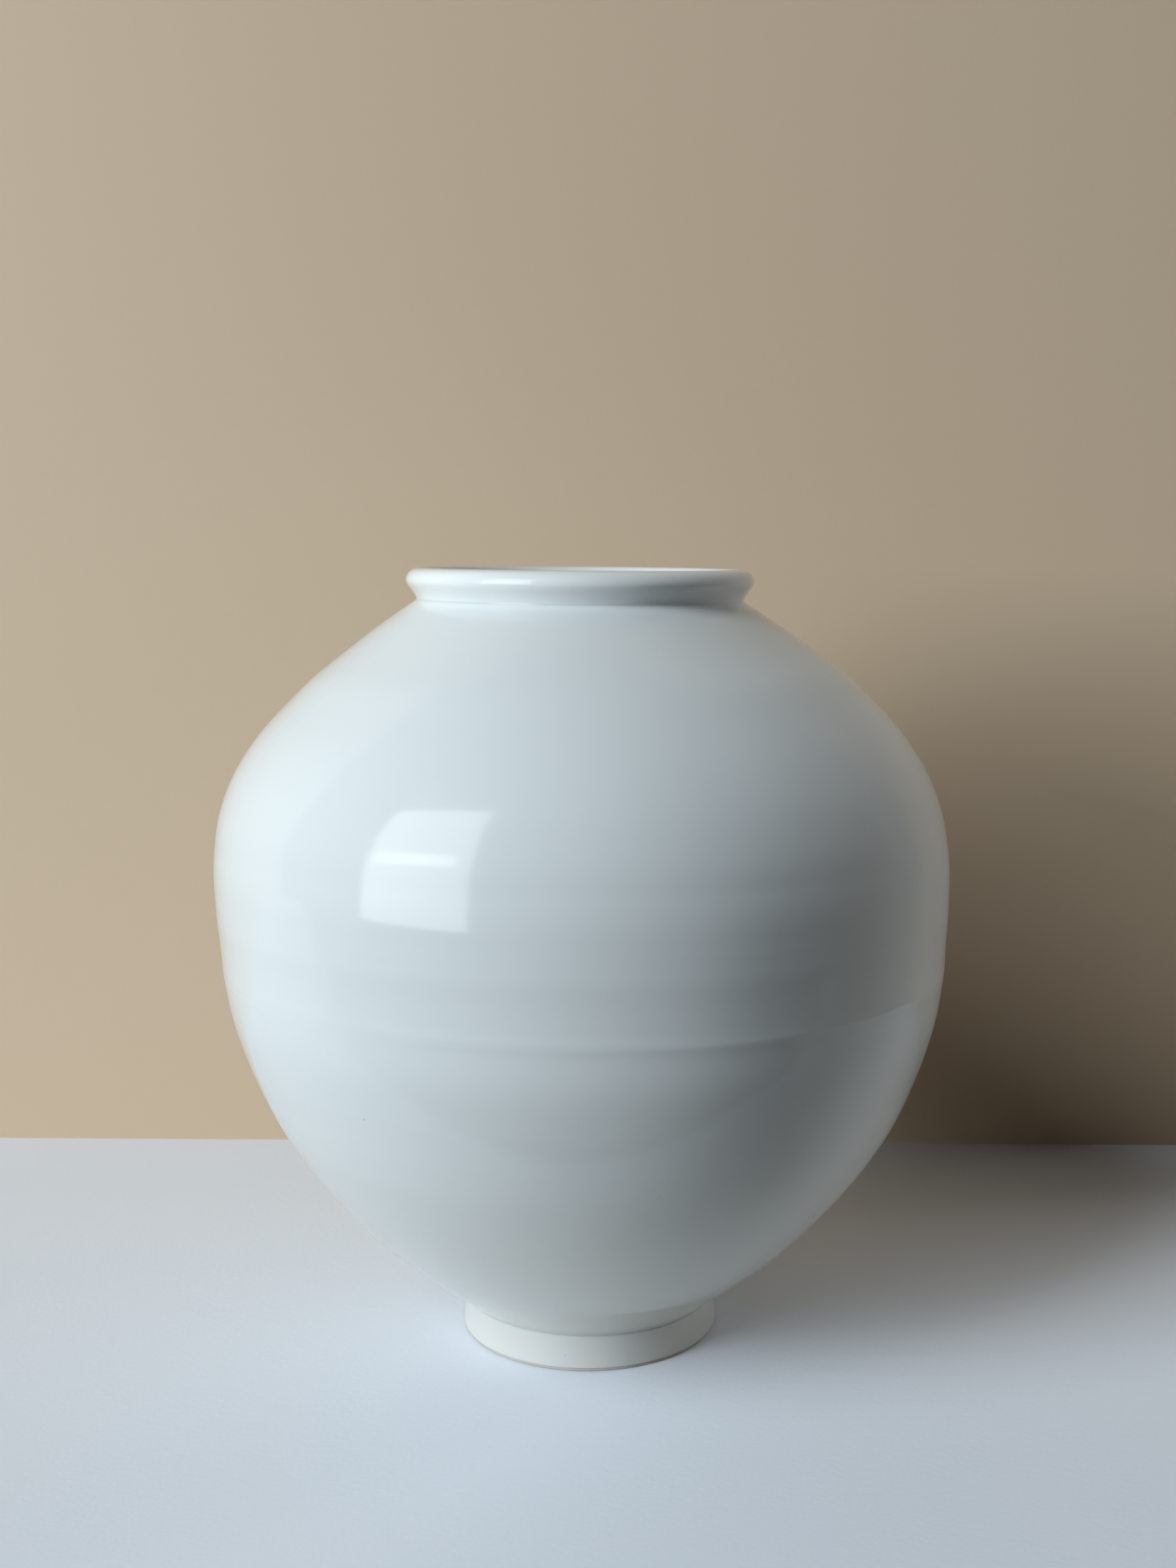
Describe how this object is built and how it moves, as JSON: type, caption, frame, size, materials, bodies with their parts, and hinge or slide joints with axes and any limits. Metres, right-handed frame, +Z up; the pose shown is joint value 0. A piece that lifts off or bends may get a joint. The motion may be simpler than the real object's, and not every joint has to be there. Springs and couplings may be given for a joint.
{
  "type": "moon jar",
  "caption": "Round-bodied open porcelain jar of luted bowls with a faint belly seam, a low collar with a rounded lip and a narrow turned foot ring.",
  "frame": {"origin": "centre of the foot's standing face, on the surface that the jar stands on", "axes": "+Z up along the axis that the jar was thrown on, towards the mouth"},
  "size_m": [0.3291, 0.3292, 0.35],
  "materials": {
    "porcelain": "matt, bisque-smooth, where the standing edge of the foot is bare",
    "slip": "matt",
    "glaze": "satin gloss, cool white with a faint blue-green cast"
  },
  "bodies": {
    "root": {"lower_bowl": "porcelain", "upper_bowl": "porcelain", "mouth_collar": "porcelain", "foot_ring": "porcelain", "belly_slip": "slip", "collar_slip": "slip", "foot_slip": "slip", "outer_glaze": "glaze", "inner_glaze": "glaze", "base_glaze": "glaze"}
  },
  "joints": []
}
